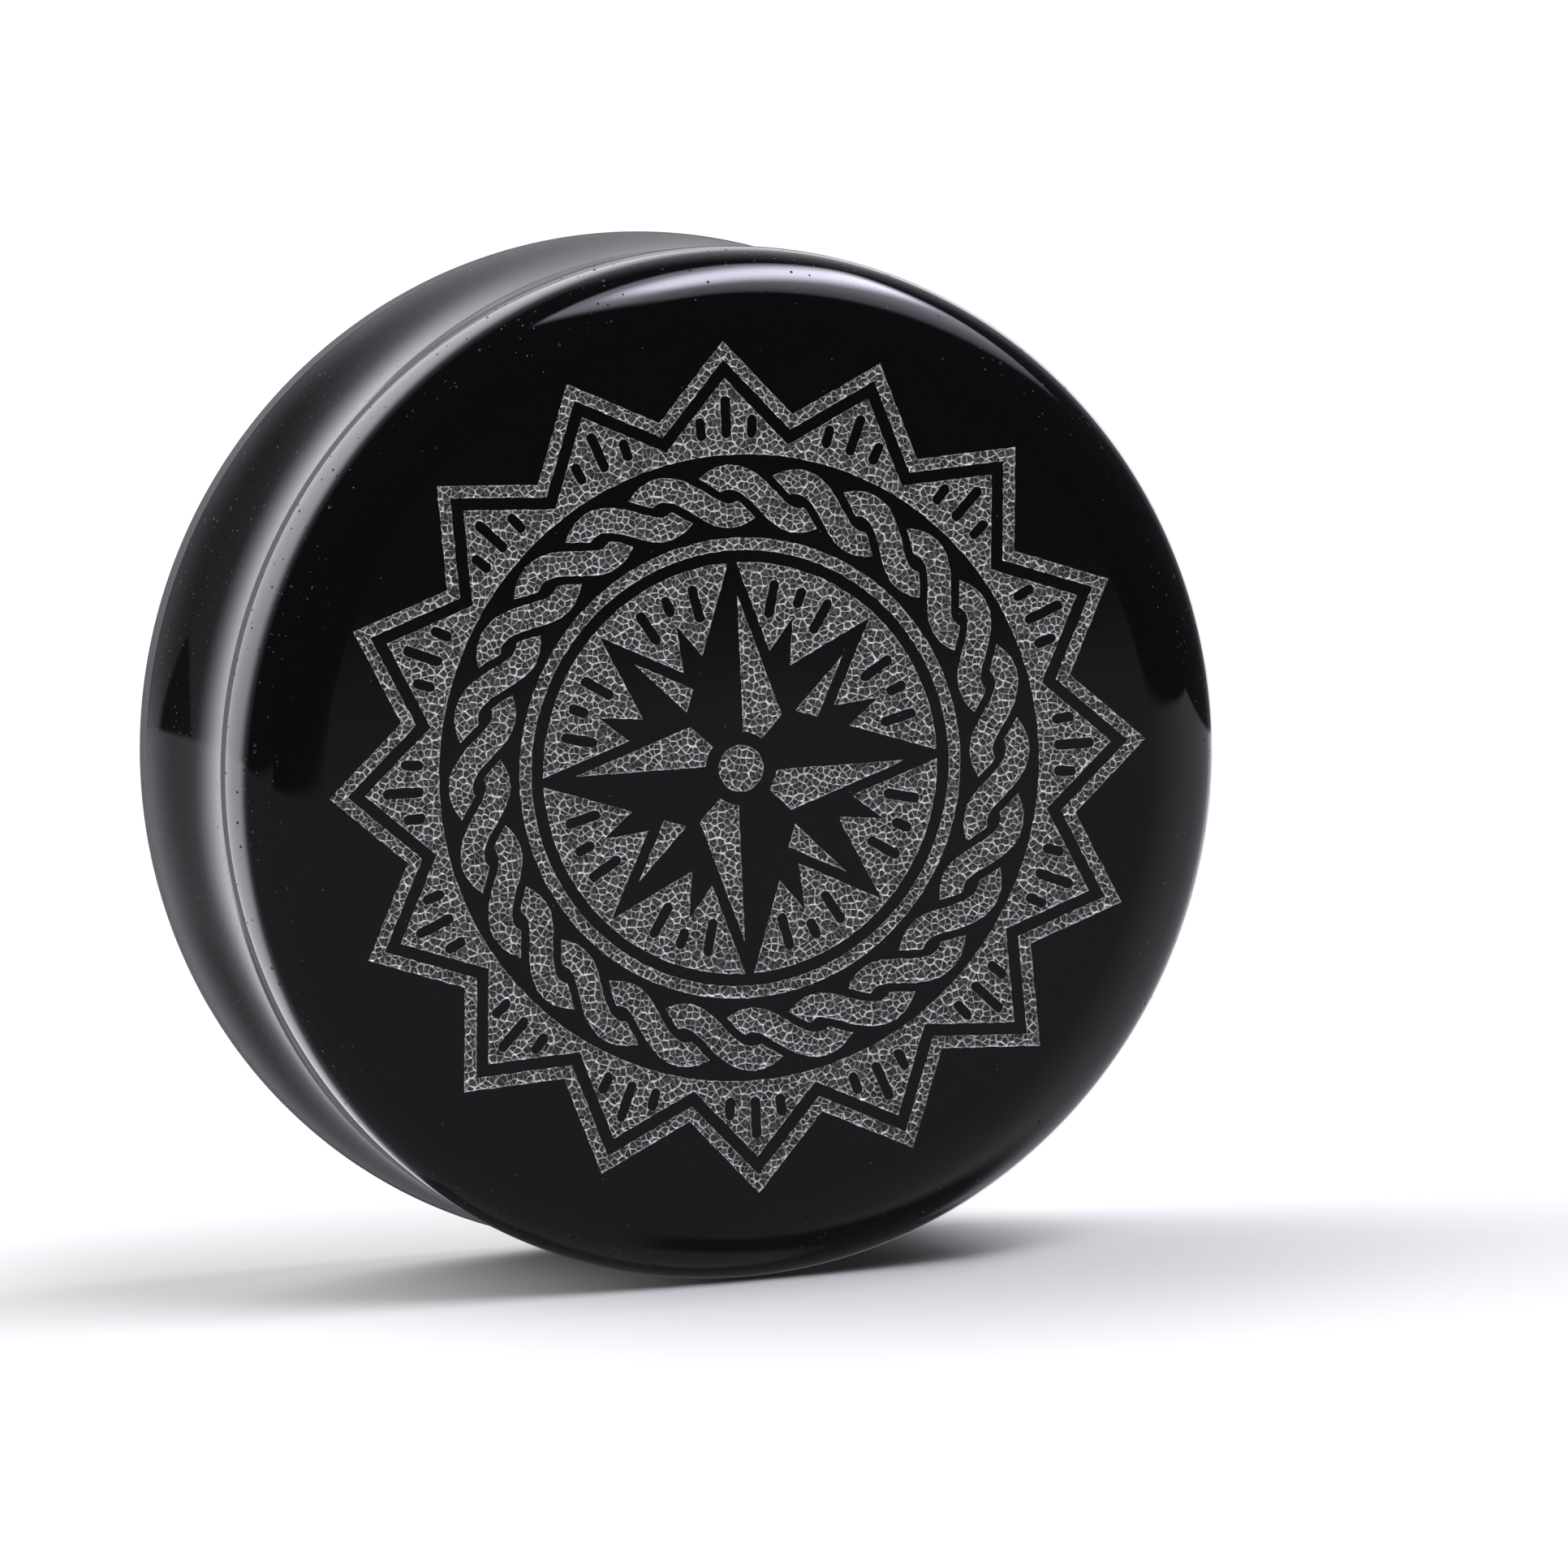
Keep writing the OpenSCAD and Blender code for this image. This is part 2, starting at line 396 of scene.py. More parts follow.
def turned_surface():
    """The turned surface and the flat back: their points, their faces, and which faces are shaded smooth."""
    half = half_profile()
    profile = half + [(r, -a) for r, a in half[-2::-1]]
    points, faces = [], []
    for r, a in profile:
        for i in range(TURN_STEPS):
            t = 2 * math.pi * i / TURN_STEPS
            points.append(Vector((r * math.cos(t), -a, AXIS_Z + r * math.sin(t))))
    for ring in range(len(profile) - 1):
        near, far = ring * TURN_STEPS, (ring + 1) * TURN_STEPS
        for i in range(TURN_STEPS):
            j = (i + 1) % TURN_STEPS
            faces.append((near + j, near + i, far + i, far + j))
    smooth = [True] * len(faces) + [False]
    back_ring = (len(profile) - 1) * TURN_STEPS
    faces.append(tuple(back_ring + i for i in reversed(range(TURN_STEPS))))
    return points, faces, smooth


def make_body(loops, cut_depth):
    """The polished stone: the turned surface, the flat back, and the front with the engraving cut in."""
    points, faces, smooth = turned_surface()
    cut_points, cut_loops = indexed(loops)
    rim = [Vector(flat(p)) for p in points[:TURN_STEPS]]
    first_rim = len(cut_points)
    rim_edges = [(first_rim + i, first_rim + (i + 1) % TURN_STEPS) for i in range(TURN_STEPS)]
    made, parts, inside, sources = triangles(cut_points + rim, rim_edges, cut_loops)
    top = {}
    floor = {}
    for index, source in enumerate(sources):
        on_rim = [s - first_rim for s in source if s >= first_rim]
        if on_rim:
            top[index] = on_rim[0]

    def corner(index, deep):
        shelf = floor if deep else top
        if index not in shelf:
            shelf[index] = len(points)
            points.append(on_front(made[index], cut_depth if deep else 0))
        return shelf[index]

    seen = {}
    for part, deep in zip(parts, inside):
        faces.append(tuple(corner(v, deep) for v in part))
        smooth.append(False)
        for a, b in zip(part, part[1:] + part[:1]):
            seen[(a, b)] = deep
    for (a, b), deep in seen.items():
        if deep and seen.get((b, a)) is False:
            faces.append((corner(b, True), corner(a, True), corner(a, False), corner(b, False)))
            smooth.append(False)
    return mesh_object("plug_body", points, faces, smooth)


def jittered_grid():
    """The middles of the frosted cells, all over the face."""
    step, reach = CELL / MM, FACE_R / MM
    count = math.ceil(reach / step)
    seeds = []
    for row in range(-count, count + 1):
        for column in range(-count, count + 1):
            x = column + rng.uniform(-CELL_JITTER, CELL_JITTER)
            y = CELL_STRETCH * (row + rng.uniform(-CELL_JITTER, CELL_JITTER))
            if math.hypot(x, y) * step < reach + step:
                seeds.append(Vector((x * step, y * step)))
    return seeds


def circle_centre(a, b, c):
    """The point as far from a as from b and c."""
    b, c = b - a, c - a
    twice = 2 * (b.x * c.y - b.y * c.x)
    x = (c.y * b.length_squared - b.y * c.length_squared) / twice
    y = (b.x * c.length_squared - c.x * b.length_squared) / twice
    return a + Vector((x, y))


def cells(is_cut):
    """The frosted cells: their middles, the corners where ridges meet, and the ridges as pairs of corners.

    The last list holds the points at the foot of the ridges, inside each cell.
    """
    seeds, parts, _, _ = triangles(jittered_grid(), [], [])
    corners, feet, sides = [], [], {}
    reach = FACE_R / MM
    for part in parts:
        a, b, c = (seeds[v] for v in part)
        corner = circle_centre(a, b, c)
        if corner.length > reach:
            continue
        index = len(corners)
        corners.append(corner)
        feet += [corner.lerp(seed, RIDGE_SHARE) for seed in (a, b, c)]
        for v, w in zip(part, part[1:] + part[:1]):
            sides.setdefault((min(v, w), max(v, w)), []).append(index)
    kept = [is_cut(c) for c in corners]
    ridges = [s for s in sides.values() if len(s) == 2 and (kept[s[0]] or kept[s[1]])]
    return [s for s in seeds if is_cut(s)], corners, ridges, [f for f in feet if is_cut(f)]


def relief(sources, rim_count, first_foot):
    """How deep each point of the frosted skin lies, and how much light it scatters.

    The sources say which points it was made from: the rim's come first, then the ridges', then the pits'.
    """
    depth, light = [], []
    for source in sources:
        nearest = min(source, default=0)
        if nearest < rim_count:
            depth.append(0.0)
            light.append(rng.uniform(*RIM_LIGHT))
        elif nearest < first_foot:
            depth.append(rng.uniform(*RIDGE_DEPTH))
            light.append(rng.uniform(*RIDGE_LIGHT))
        else:
            depth.append(rng.uniform(*PIT_DEPTH))
            light.append(rng.uniform(*PIT_LIGHT))
    return depth, light


def make_engraving(faces, loops, cut_depth):
    """The frosted skin on the engraving's floor: a closed sheet with a net of ridges round pits on top."""
    tree = BVHTree.FromPolygons([p for f in faces for p in f], face_indices(faces))

    def is_cut(p):
        above = on_front(p, -MM)
        return tree.ray_cast(above, Vector((0, 1, 0)))[0] is not None

    cut_points, cut_loops = indexed(loops)
    middles, corners, ridges, feet = cells(is_cut)
    used = sorted({c for ridge in ridges for c in ridge})
    place = {c: len(cut_points) + i for i, c in enumerate(used)}
    first_foot = len(cut_points) + len(used)
    flat_points = cut_points + [corners[c] for c in used] + feet + middles
    ridge_edges = [(place[a], place[b]) for a, b in ridges]
    made, parts, inside, sources = triangles(flat_points, ridge_edges, cut_loops)
    depth, light = relief(sources, len(cut_points), first_foot)
    top_parts = [part for part, deep in zip(parts, inside) if deep]
    used = sorted({v for part in top_parts for v in part})
    place = {v: i for i, v in enumerate(used)}
    points = [on_front(made[v], depth[v]) for v in used]
    values = [light[v] for v in used]
    skin = [tuple(place[v] for v in part) for part in top_parts]
    rim = open_edges(skin)
    rim_points = sorted({v for edge in rim for v in edge})
    under = {v: len(points) + i for i, v in enumerate(rim_points)}
    for v in rim_points:
        points.append(points[v] + Vector((0, cut_depth, 0)))
        values.append(HIDDEN_LIGHT)
    sides = [(b, a, under[a], under[b]) for a, b in rim]
    below = bottom_faces(rim, rim_points, points, under)
    sheet = skin + sides + below
    thing = mesh_object("engraving", points, sheet, [False] * len(sheet))
    attribute = thing.data.attributes.new("frost", "FLOAT", "POINT")
    attribute.data.foreach_set("value", values)
    lay_out(thing, len(skin), len(sides))
    return thing


def face_indices(faces):
    """Running indices for faces that share no corners."""
    made, start = [], 0
    for face in faces:
        made.append(tuple(range(start, start + len(face))))
        start += len(face)
    return made


def bottom_faces(rim, rim_points, points, under):
    """Faces that close the frosted skin underneath."""
    index = {v: i for i, v in enumerate(rim_points)}
    flat_points = [Vector(flat(points[v])) for v in rim_points]
    loops = traced((index[a], index[b]) for a, b in rim)
    loops = [l if turns_left([flat_points[v] for v in l]) else l[::-1] for l in loops]
    _, parts, inside, sources = triangles(flat_points, [], loops)
    own = [under[rim_points[source[0]]] for source in sources]
    return [tuple(own[v] for v in reversed(part)) for part, deep in zip(parts, inside) if deep]


def lay_out(thing, skin_count, side_count):
    """A map that spreads the visible skin over the square, with the hidden faces in two of its corners."""
    layer = thing.data.uv_layers.new(name="OFBake")
    # The side of a square that fits in the map's corner, beside the round skin
    corner = 0.5 - 0.5 / math.sqrt(2)
    columns = math.ceil(math.sqrt(side_count))
    tile = corner / columns
    span = 2 * FACE_R
    for face in thing.data.polygons:
        number = face.index - skin_count
        for turn, loop in enumerate(face.loop_indices):
            p = thing.data.vertices[thing.data.loops[loop].vertex_index].co
            uv = Vector((p.x / span + 0.5, (p.z - AXIS_Z) / span + 0.5))
            if 0 <= number < side_count:
                row, column = divmod(number, columns)
                uv = Vector((column + (turn in (1, 2)), row + (turn > 1))) * tile * TILE_FILL
            elif number >= side_count:
                uv = Vector((1 - corner, 0)) + uv * corner
            layer.data[loop].uv = uv


def material(name):
    """A new material, its node tree and its main shader."""
    made = bpy.data.materials.new(name)
    made.use_nodes = True
    return made, made.node_tree, made.node_tree.nodes["Principled BSDF"]


def node(tree, kind, inputs=(), **settings):
    """A new node with its settings, and its inputs set to values or linked to sockets."""
    made = tree.nodes.new(kind)
    for key, value in settings.items():
        setattr(made, key, value)
    for key, value in dict(inputs).items():
        if isinstance(value, bpy.types.NodeSocket):
            tree.links.new(value, made.inputs[key])
        else:
            made.inputs[key].default_value = value
    return made


def maths(tree, operation, *values):
    """The result of a Math node."""
    return node(tree, "ShaderNodeMath", dict(enumerate(values)), operation=operation).outputs[0]


def ramp(tree, value, start, end, low=0.0, high=1.0):
    """A soft step from low to high as value goes from start to end."""
    inputs = {0: value, 1: start, 2: end, 3: low, 4: high}
    return node(tree, "ShaderNodeMapRange", inputs, interpolation_type="SMOOTHSTEP").outputs[0]


def position(tree):
    """The place on the piece, in metres, and its three parts."""
    place = node(tree, "ShaderNodeTexCoord").outputs["Object"]
    return place, node(tree, "ShaderNodeSeparateXYZ", {0: place}).outputs


def specks(tree, place, spacing, size, share):
    """1 on small round specks, of which there are at most one in each cell, and 0 between them."""
    cell = node(tree, "ShaderNodeTexVoronoi", {"Vector": place, "Scale": 1 / spacing, "Randomness": 1.0})
    colour = node(tree, "ShaderNodeSeparateColor", {0: cell.outputs["Color"]}).outputs
    kept = maths(tree, "LESS_THAN", colour[0], share)
    reach = maths(tree, "MULTIPLY_ADD", colour[1], size / spacing, size / spacing / 3)
    inside = maths(tree, "LESS_THAN", cell.outputs["Distance"], reach)
    return maths(tree, "MULTIPLY", kept, inside)


def clouds(tree, place, size, fade):
    """Soft patches that go from 0 to 1 where the noise goes through the fade."""
    made = node(tree, "ShaderNodeTexNoise", {"Vector": place, "Scale": 1 / size, "Detail": 3.0})
    return ramp(tree, made.outputs[0], *fade)


def mixed(tree, factor, under, top):
    """One colour laid over another where the factor is 1."""
    return node(tree, "ShaderNodeMix", {"Factor": factor, 6: under, 7: top}, data_type="RGBA").outputs[2]


def bumped(tree, shader, height, drop):
    """Gives a shader the relief of a height, where 1 is so much above 0."""
    bump = node(tree, "ShaderNodeBump", {"Height": height, "Distance": drop})
    tree.links.new(bump.outputs[0], shader.inputs["Normal"])


def polished_stone():
    """Polished black volcanic glass, left dull along the crests, with small pits and a little dust."""
    made, tree, shader = material("polished_stone")
    place, parts = position(tree)
    along_axis = maths(tree, "ABSOLUTE", parts[1])
    off_line = maths(tree, "ABSOLUTE", maths(tree, "SUBTRACT", along_axis, WORN_A))
    worn = ramp(tree, off_line, WORN_HALF, WORN_FULL)
    side = ramp(tree, along_axis, HALF_LENGTH, HALF_LENGTH - FACE_REACH, FACE_SHARE, 1.0)
    near_crest = maths(tree, "ABSOLUTE", maths(tree, "SUBTRACT", along_axis, CREST_A))
    pitted = maths(tree, "MULTIPLY", side, ramp(tree, near_crest, 0.0, PIT_REACH, PIT_SHARE, FACE_SHARE))
    pits = specks(tree, place, PIT_SPACING, PIT_SIZE, pitted)
    dusty = maths(tree, "MULTIPLY", side, clouds(tree, place, DUST_PATCH, DUST_FADE))
    dust = specks(tree, place, DUST_SPACING, DUST_SIZE, maths(tree, "MULTIPLY", dusty, DUST_SHARE))
    smears = clouds(tree, place, SMEAR_SIZE, SMEAR_FADE)
    rough = maths(tree, "MULTIPLY_ADD", smears, SMEAR_ROUGHNESS, POLISH_ROUGHNESS)
    rough = over(tree, rough, worn, WORN_ROUGHNESS)
    rough = over(tree, rough, maths(tree, "MAXIMUM", pits, dust), PIT_ROUGHNESS)
    colour = mixed(tree, dust, (*STONE_BLACK, 1), (*DUST_GREY, 1))
    tree.links.new(colour, shader.inputs["Base Color"])
    tree.links.new(rough, shader.inputs["Roughness"])
    shader.inputs["IOR"].default_value = STONE_IOR
    bumped(tree, shader, maths(tree, "SUBTRACT", dust, pits), PIT_DROP)
    return made


def frosted_stone():
    """The blasted floor of the engraving: pale ridges round darker pits, all of them grainy."""
    made, tree, shader = material("frosted_stone")
    frost = node(tree, "ShaderNodeAttribute", attribute_name="frost").outputs["Fac"]
    place, _ = position(tree)
    inputs = {"Vector": place, "Scale": 1 / GRAIN_SIZE, "Detail": 2.0}
    grain = node(tree, "ShaderNodeTexNoise", inputs).outputs[0]
    light = ramp(tree, frost, *FROST_RANGE, *FROST_LIGHT)
    light = maths(tree, "MULTIPLY", light, ramp(tree, grain, *GRAIN_FADE, *GRAIN_CONTRAST))
    less_blue = maths(tree, "MULTIPLY", light, FROST_BLUE)
    colour = node(tree, "ShaderNodeCombineColor", {0: light, 1: light, 2: less_blue}).outputs[0]
    tree.links.new(colour, shader.inputs["Base Color"])
    tree.links.new(ramp(tree, grain, *GRAIN_FADE, *FROST_ROUGHNESS), shader.inputs["Roughness"])
    shader.inputs["IOR"].default_value = STONE_IOR
    bumped(tree, shader, grain, GRAIN_DROP)
    return made


def make_camera():
    """The camera at the photograph's angle, with the plug where the photograph has it."""
    data = bpy.data.cameras.new("camera")
    data.sensor_width = SENSOR
    data.lens = SENSOR * FOCAL_PIXELS / PHOTO_SIDE
    data.clip_start = 0.01
    data.clip_end = 20
    camera = bpy.data.objects.new("camera", data)
    bpy.context.scene.collection.objects.link(camera)
    flat_reach = math.cos(CAMERA_ELEVATION)
    back = Vector((
        math.sin(CAMERA_AZIMUTH) * flat_reach,
        -math.cos(CAMERA_AZIMUTH) * flat_reach,
        math.sin(CAMERA_ELEVATION),
    ))
    aim = (-back).to_track_quat("-Z", "Y").to_matrix()
    aim = aim @ Matrix.Rotation(CAMERA_ROLL, 3, "Z")
    right = (PLUG_AT[0] - PHOTO_SIDE / 2) / FOCAL_PIXELS
    up = (PHOTO_SIDE / 2 - PLUG_AT[1]) / FOCAL_PIXELS
    aim = aim @ Matrix.Rotation(right, 3, "Y") @ Matrix.Rotation(-up, 3, "X")
    camera.matrix_world = Matrix.Translation(Vector((0, 0, AXIS_Z)) + back * CAMERA_DISTANCE) @ aim.to_4x4()
    bpy.context.scene.camera = camera


def turned(azimuth):
    """The flat direction that is azimuth degrees left of the way the camera looks."""
    t = math.pi / 2 + CAMERA_AZIMUTH + math.radians(azimuth)
    return Vector((math.cos(t), math.sin(t), 0.0))


def along(tree, direction, axis):
    """How far a direction goes along an axis."""
    made = node(tree, "ShaderNodeVectorMath", {0: direction, 1: axis}, operation="DOT_PRODUCT")
    return made.outputs["Value"]


def between(tree, value, limits, soft):
    """1 where value lies between the limits, with soft edges, and 0 elsewhere."""
    low, high = limits
    rise = ramp(tree, value, low - soft, low + soft)
    fall = ramp(tree, value, high - soft, high + soft, 1.0, 0.0)
    return maths(tree, "MULTIPLY", rise, fall)


def patch(tree, place, sides, ends, soft):
    """1 inside a patch of the surroundings, with soft edges, and 0 elsewhere."""
    across = between(tree, place[0], sides, soft)
    upwards = between(tree, place[1], ends, soft)
    return maths(tree, "MULTIPLY", across, upwards)


def over(tree, tone, mask, new):
    """The tone with a new one laid over it where the mask is 1."""
    return node(tree, "ShaderNodeMix", {"Factor": mask, "A": tone, "B": new}).outputs[0]


def flat_view(tree, direction, azimuth, height):
    """A direction on a flat sheet that faces one place: across it, up it, and how far it goes that way."""
    rise = math.radians(height)
    towards = turned(azimuth) * math.cos(rise) + Vector((0, 0, math.sin(rise)))
    side = towards.cross(Vector((0, 0, 1))).normalized()
    ahead = along(tree, direction, towards)
    across = maths(tree, "DIVIDE", along(tree, direction, side), ahead)
    upwards = maths(tree, "DIVIDE", along(tree, direction, side.cross(towards)), ahead)
    return across, upwards, ahead


def length(tree, x, y):
    """The length of the flat vector from x and y."""
    flat_vector = node(tree, "ShaderNodeCombineXYZ", {0: x, 1: y}).outputs[0]
    return node(tree, "ShaderNodeVectorMath", {0: flat_vector}, operation="LENGTH").outputs["Value"]


def left_reach(tree, direction):
    """How far out a direction lies in the round light on the left, where 1 is the middle of its edge."""
    across, upwards, ahead = flat_view(tree, direction, *LEFT_LIGHT)
    left_half, right_half, height = LEFT_HALF
    narrower = 1 / right_half - 1 / left_half
    across = maths(
        tree, "MULTIPLY_ADD", maths(tree, "MAXIMUM", across, 0.0), narrower,
        maths(tree, "DIVIDE", across, left_half))
    reach = length(tree, across, maths(tree, "DIVIDE", upwards, height))
    return over(tree, reach, maths(tree, "LESS_THAN", ahead, LEAST_AHEAD), OUT_OF_REACH)


def room_tone(tree, place, reach):
    """The room above the floor: the light on the left, its glow, the wall, the strip, and dim elsewhere."""
    height = ramp(tree, place[1], *LEFT_HEIGHT_FADE, *LEFT_TONES)
    light = maths(tree, "MULTIPLY", height, ramp(tree, reach, *LEFT_FADE, 1.0, 0.0))
    glow = ramp(tree, reach, *GLOW_FADE, GLOW, 0.0)
    height = ramp(tree, place[1], *WALL_HEIGHT_FADE, *WALL_TONES)
    wall = maths(tree, "MULTIPLY", patch(tree, place, *WALL_AT), height)
    tone = maths(tree, "ADD", maths(tree, "ADD", light, glow), maths(tree, "ADD", wall, DIM))
    return maths(tree, "MULTIPLY_ADD", patch(tree, place, *STRIP_AT), STRIP_TONE - DIM, tone)


def reach_from(tree, place, middle):
    """How many degrees a direction lies from another, across and up."""
    return length(tree, *(maths(tree, "SUBTRACT", part, value) for part, value in zip(place, middle)))


def backdrop_mask(tree, place):
    """Where the backdrop shows: a round patch, a quarter as high again above its middle."""
    above = maths(tree, "SUBTRACT", place[1], BACKDROP[1])
    above = maths(tree, "MULTIPLY_ADD", maths(tree, "MAXIMUM", above, 0.0), -BACKDROP_STRETCH, above)
    reach = length(tree, maths(tree, "SUBTRACT", place[0], BACKDROP[0]), above)
    return ramp(tree, reach, *BACKDROP_FADE, 1.0, 0.0)


def pale_glow(tree, place):
    """The tone of the pale glow on the backdrop."""
    reach = reach_from(tree, place, PALE)
    tone = ramp(tree, reach, *PALE_FADE, PALE_TONE, 0.0)
    tone = maths(tree, "MULTIPLY", tone, ramp(tree, reach, *PALE_HEART_FADE, PALE_HEART, 1.0))
    tone = maths(tree, "MULTIPLY", tone, ramp(tree, place[0], *PALE_RIGHT_FADE))
    return maths(tree, "MULTIPLY", tone, ramp(tree, place[1], *PALE_FOOT_FADE, PALE_FOOT, 1.0))


def pale_rim(tree, place):
    """The tone that the backdrop gains towards its rim."""
    reach = reach_from(tree, place, BACKDROP)
    steps = maths(tree, "MULTIPLY_ADD", reach, 1 / RIM_STEP, -RIM_START / RIM_STEP)
    steps = maths(tree, "MULTIPLY_ADD", patch(tree, place, *PALER_RIM_AT), PALER_RIM_STEPS, steps)
    tone = maths(tree, "POWER", maths(tree, "MAXIMUM", steps, 0.0), RIM_POWER)
    one_step = over(tree, RIM_TONE, patch(tree, place, *DIMMER_RIM_AT), DIMMER_RIM)
    return maths(tree, "MINIMUM", maths(tree, "MULTIPLY", tone, one_step), RIM_PALEST)


def backdrop_tone(tree, place):
    """The backdrop: a round glow low on its right, and paler to the right and towards its rim."""
    added = maths(tree, "ADD", pale_glow(tree, place), pale_rim(tree, place))
    tone = ramp(tree, place[0], *BACKDROP_RIGHT_FADE, 0.0, BACKDROP_TONE)
    tone = maths(tree, "MULTIPLY", tone, ramp(tree, place[1], *BACKDROP_FOOT_FADE))
    return maths(tree, "ADD", added, maths(tree, "ADD", tone, DIM))


def card_mask(tree, place):
    """Where the dark card shows: its right edge leans, and its left edge bends towards the top."""
    right, left = CARD
    right_soft, left_soft = CARD_SOFT
    height = maths(tree, "SUBTRACT", place[1], CARD_FOOT)
    lean = maths(tree, "MULTIPLY_ADD", height, -CARD_LEAN, place[0])
    bend = maths(tree, "MULTIPLY_ADD", maths(tree, "POWER", height, 2.0), CARD_BEND, place[0])
    sides = maths(
        tree, "MULTIPLY",
        ramp(tree, lean, right - right_soft, right + right_soft),
        ramp(tree, bend, left - left_soft, left + left_soft, 1.0, 0.0))
    return maths(tree, "MULTIPLY", sides, ramp(tree, place[1], *CARD_TOP_FADE, 1.0, 0.0))


def floor_tone(tree, place, direction, reach):
    """The floor: lit on the left, dim in front, paler on the right and palest at the back right."""
    right = between(tree, place[0], FLOOR_RIGHT_SIDES, FLOOR_RIGHT_SOFT)
    right = maths(tree, "MULTIPLY", right, ramp(tree, place[1], *FLOOR_RIGHT_FADE))
    tone = maths(tree, "MULTIPLY_ADD", right, FLOOR_RIGHT - FLOOR_FRONT, FLOOR_FRONT)
    glow = ramp(tree, reach, *GLOW_FADE, GLOW, 0.0)
    glow = maths(tree, "MULTIPLY", glow, ramp(tree, place[0], *FLOOR_GLOW_FADE))
    tone = maths(tree, "ADD", tone, glow)
    tone = over(tree, tone, patch(tree, place, *FLOOR_BACK_AT), FLOOR_BACK)
    ahead, left, up = LIT_EDGE
    limit = along(tree, direction, turned(0) * ahead + turned(90) * left + Vector((0, 0, up)))
    lit = ramp(tree, reach, *LIT_REACH_FADE, 1.0, 0.0)
    lit = maths(tree, "MULTIPLY", lit, ramp(tree, limit, *LIT_EDGE_FADE))
    return over(tree, tone, lit, FLOOR_LEFT)


def floor_shadow(tree, tone, place):
    """The floor's tone with the plug's painted shadow over it: a wedge that widens downwards, and a patch.
    """
    right = ramp(tree, maths(tree, "SUBTRACT", place[0], place[1]), *WEDGE_RIGHT_FADE)
    slanted = maths(tree, "MULTIPLY_ADD", place[1], WEDGE_LEFT_SLOPE, place[0])
    left = ramp(tree, slanted, *WEDGE_LEFT_FADE)
    heights = between(tree, place[1], WEDGE_HEIGHTS, WEDGE_SOFT)
    wedge = maths(tree, "MULTIPLY", maths(tree, "MULTIPLY", left, right), heights)
    return over(tree, over(tree, tone, wedge, DARK), patch(tree, place, *DARK_AT), DARK)


def top_box(tree, direction):
    """Where the softbox above shows, and its tone there."""
    across, upwards, ahead = flat_view(tree, direction, *TOP_BOX)
    in_front = maths(tree, "GREATER_THAN", ahead, 0.0)
    mask = maths(tree, "MULTIPLY", patch(tree, (across, upwards), *TOP_BOX_AT), in_front)
    slanted = maths(tree, "MULTIPLY_ADD", across, TOP_BAND_SLANT, upwards)
    band = patch(tree, (across, slanted), *TOP_BAND_AT)
    glow = ramp(tree, upwards, *TOP_GLOW_FADE, *TOP_TONES)
    return mask, maths(tree, "MULTIPLY_ADD", band, TOP_BAND_LIGHT, glow)


def glowing(tree, tone, tint):
    """A background shader with this tone, tinted."""
    colour = node(tree, "ShaderNodeVectorMath", {0: tint, "Scale": tone}, operation="SCALE").outputs[0]
    return node(tree, "ShaderNodeBackground", {"Color": colour}).outputs[0]


def either(tree, mask, under, top):
    """One shader laid over another where the mask is 1. Where it is 0 or 1, the other costs no time."""
    return node(tree, "ShaderNodeMixShader", {0: mask, 1: under, 2: top}).outputs[0]


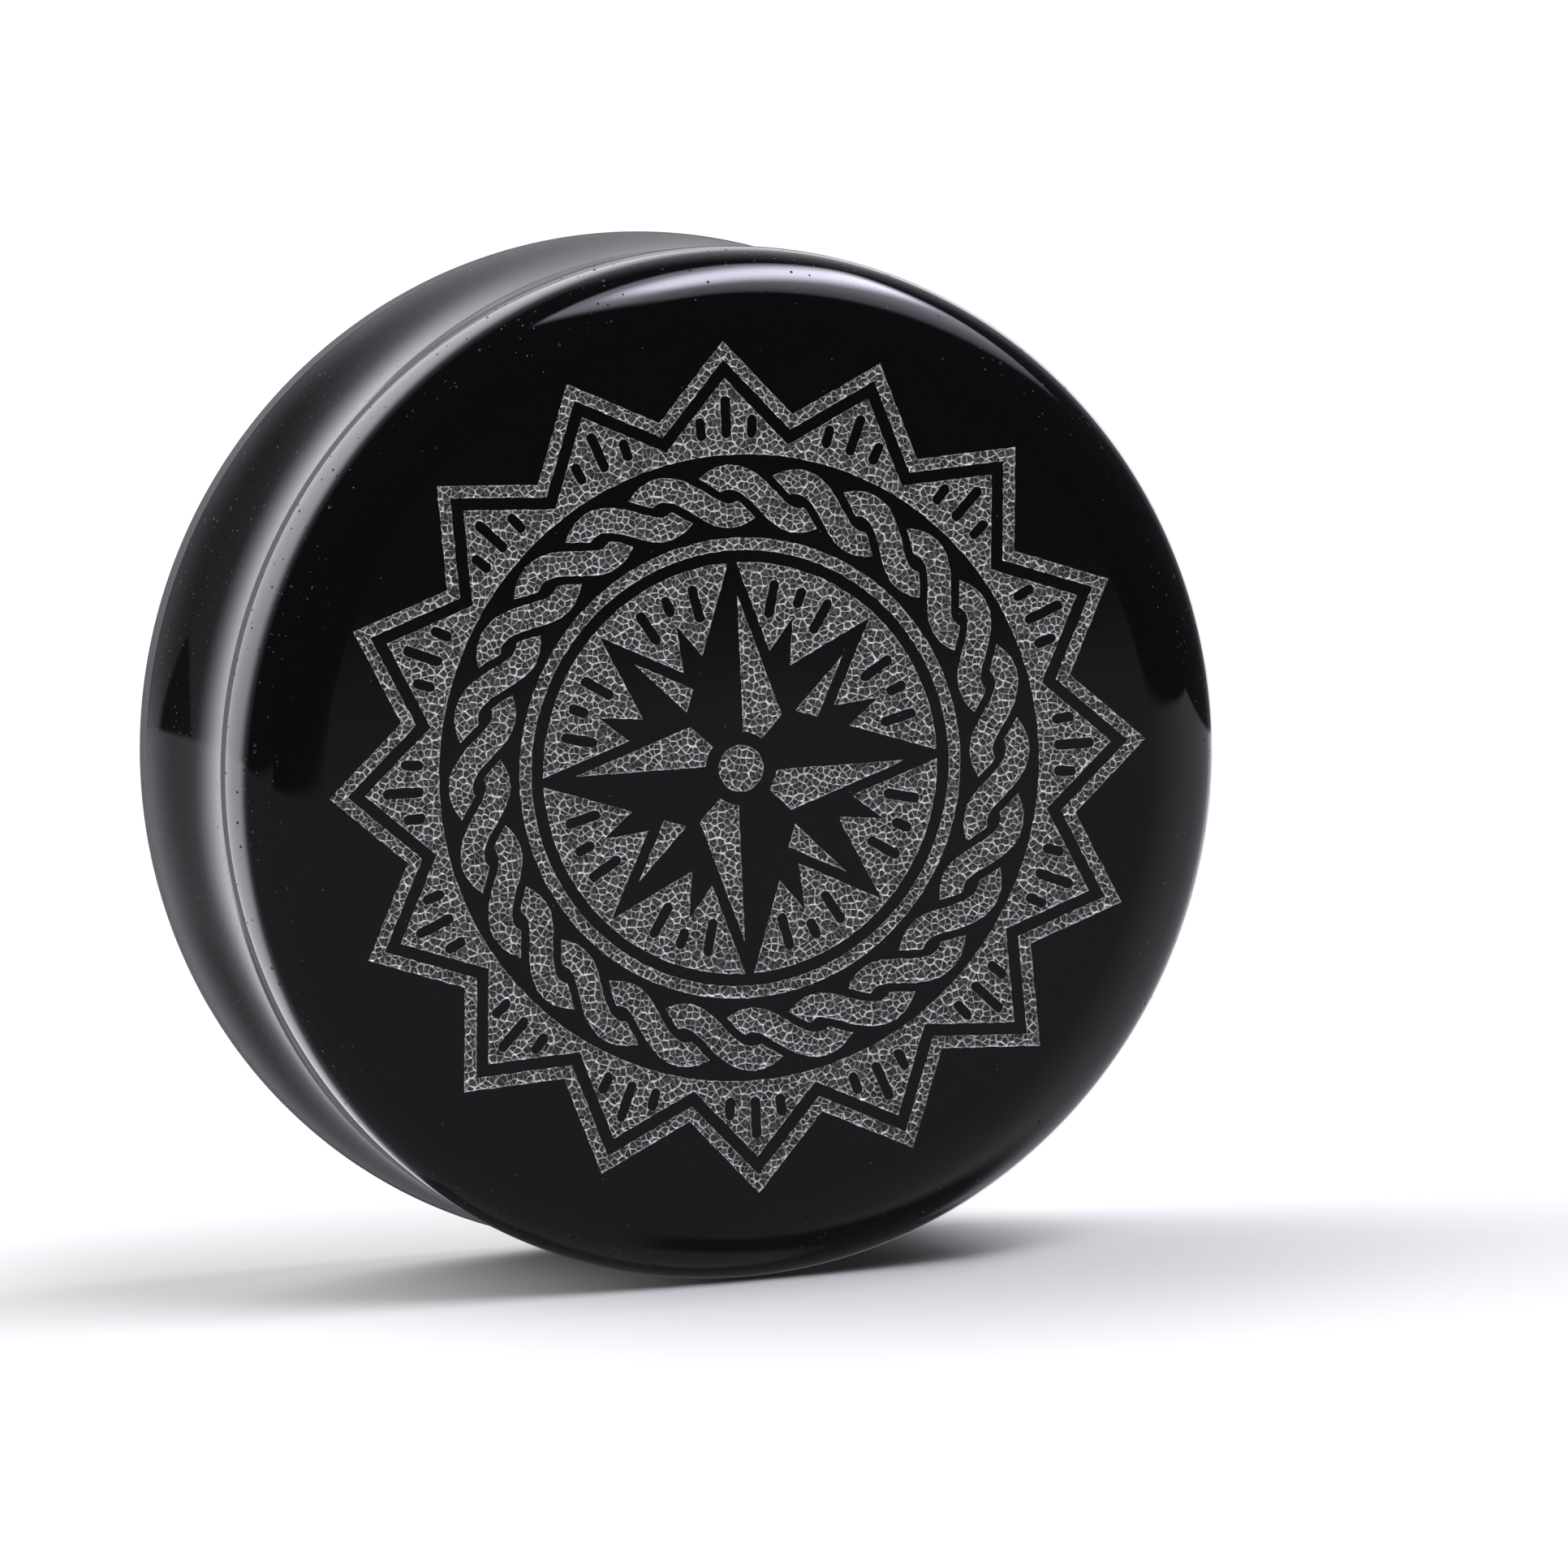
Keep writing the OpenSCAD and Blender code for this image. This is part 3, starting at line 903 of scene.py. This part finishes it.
def studio_light():
    """The light round the plug, by direction, as its polish shows it. The camera sees plain white."""
    world = bpy.data.worlds.new("studio")
    world.use_nodes = True
    tree = world.node_tree
    tree.nodes.remove(tree.nodes["Background"])
    bpy.context.scene.world = world
    direction = node(tree, "ShaderNodeTexCoord").outputs["Generated"]
    rise = along(tree, direction, (0, 0, 1))
    left = maths(tree, "ARCTAN2", along(tree, direction, turned(90)), along(tree, direction, turned(0)))
    place = (maths(tree, "DEGREES", left), maths(tree, "DEGREES", maths(tree, "ARCSINE", rise)))
    edge = 0.0
    for x, y in FLOOR_EDGES:
        edge = maths(tree, "MAXIMUM", along(tree, direction, (x, y, 0)), edge)
    on_floor = ramp(tree, maths(tree, "ADD", rise, edge), *FLOOR_EDGE_FADE)

    reach = left_reach(tree, direction)
    room = glowing(tree, room_tone(tree, place, reach), TINT)
    floor = floor_shadow(tree, floor_tone(tree, place, direction, reach), place)
    around = either(tree, on_floor, room, glowing(tree, floor, TINT))

    backdrop = backdrop_tone(tree, place)
    floor = maths(tree, "ADD", backdrop, ramp(tree, place[1], *FLOOR_BEHIND_FADE, *FLOOR_BEHIND))
    backdrop = over(tree, backdrop, card_mask(tree, place), CARD_TONE)
    behind = glowing(tree, over(tree, backdrop, on_floor, floor_shadow(tree, floor, place)), TINT)

    mask, top_tone = top_box(tree, direction)
    shader = either(tree, backdrop_mask(tree, place), around, behind)
    shader = either(tree, mask, shader, glowing(tree, top_tone, TOP_TINT))
    seen = node(tree, "ShaderNodeLightPath").outputs["Is Camera Ray"]
    shader = either(tree, seen, shader, glowing(tree, WHITE, (1, 1, 1)))
    tree.links.new(shader, tree.nodes["World Output"].inputs["Surface"])


def make_floor():
    """A sheet of white paper. The polish shows the floor of studio_light() instead."""
    bpy.ops.mesh.primitive_plane_add(size=FLOOR_SIZE)
    floor = bpy.context.object
    floor.name = "floor"
    floor.visible_glossy = False
    made, _, shader = material("white_paper")
    shader.inputs["Base Color"].default_value = (*(FLOOR_TONE * TINT[1] / part for part in TINT), 1)
    shader.inputs["Roughness"].default_value = 0.9
    shader.inputs["Specular IOR Level"].default_value = 0.0
    floor.data.materials.append(made)


faces, cut_depth = cut_floor()
loops = [worn_loop(loop) for loop in outlines(faces)]
body = make_body(loops, cut_depth)
engraving = make_engraving(faces, loops, cut_depth)
body.data.materials.append(polished_stone())
engraving.data.materials.append(frosted_stone())
for piece, slot in ((body, "polished_stone"), (engraving, "frosted_stone")):
    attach(piece, "root")
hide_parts("plug")
make_camera()
studio_light()
make_floor()
bpy.context.scene.view_settings.view_transform = "Standard"
